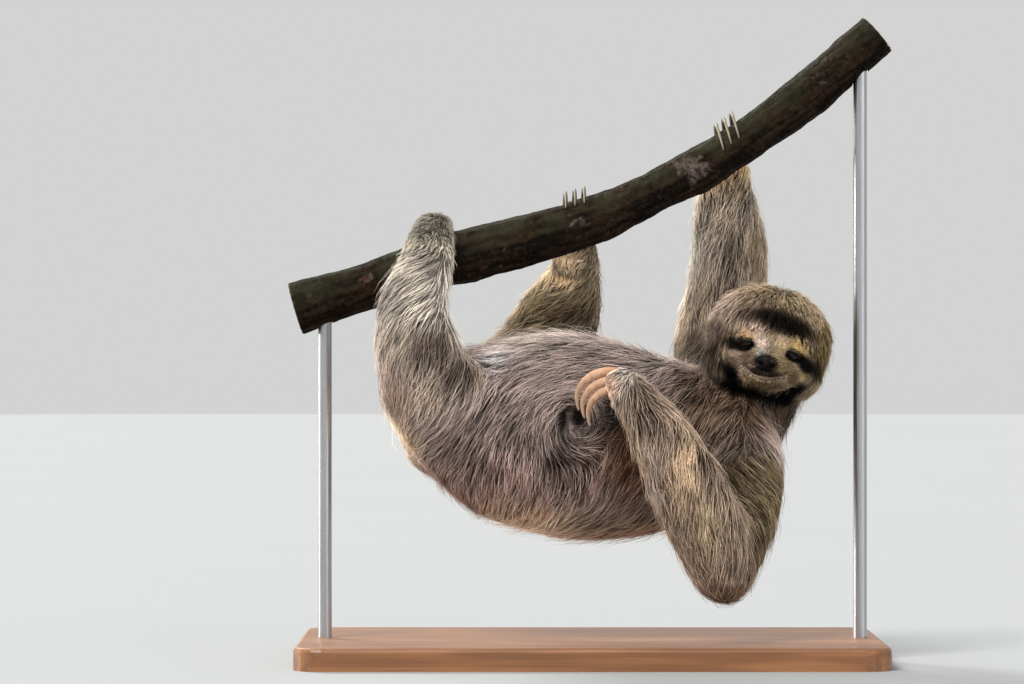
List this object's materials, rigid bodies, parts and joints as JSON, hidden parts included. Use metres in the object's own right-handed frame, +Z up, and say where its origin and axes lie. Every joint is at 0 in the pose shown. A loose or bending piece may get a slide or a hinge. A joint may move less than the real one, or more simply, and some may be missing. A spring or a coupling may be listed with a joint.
{
  "type": "three-toed sloth",
  "caption": "Life-size still model of a brown-throated three-toed sloth hanging under a cut branch on a plain stand, one hand scratching its belly.",
  "frame": {"origin": "middle of the underside of the stand's base board", "axes": "+Z up; +X from the rump towards the head, along the base's length; the animal's left side and its turned face look towards -Y"},
  "size_m": [0.4838, 0.3, 0.5144],
  "materials": {
    "coat": "shaggy grey-brown fur streaked with cream and dark brown, with a dark throat band and eye stripes",
    "eye": "wet, almost black eye",
    "claw": "smooth pinkish-tan to ivory horn",
    "bark": "dark rough bark with green algae and pale lichen",
    "base_wood": "satin-finished plain board",
    "rod_steel": "brushed steel rod"
  },
  "bodies": {
    "root": {"head": "coat", "neck": "coat", "trunk": "coat", "tail": "coat", "left_thigh": "coat", "left_shank": "coat", "left_foot": "coat", "right_thigh": "coat", "right_shank": "coat", "right_foot": "coat", "left_upper_arm": "coat", "left_forearm": "coat", "left_hand": "coat", "right_upper_arm": "coat", "right_forearm": "coat", "right_hand": "coat", "left_eye": "eye", "right_eye": "eye", "left_hand_claw_1": "claw", "left_hand_claw_2": "claw", "left_hand_claw_3": "claw", "right_hand_claw_1": "claw", "right_hand_claw_2": "claw", "right_hand_claw_3": "claw", "left_foot_claw_1": "claw", "left_foot_claw_2": "claw", "left_foot_claw_3": "claw", "right_foot_claw_1": "claw", "right_foot_claw_2": "claw", "right_foot_claw_3": "claw", "perch": "bark", "stand_base": "base_wood", "stand_rod_left": "rod_steel", "stand_rod_right": "rod_steel"}
  },
  "joints": []
}
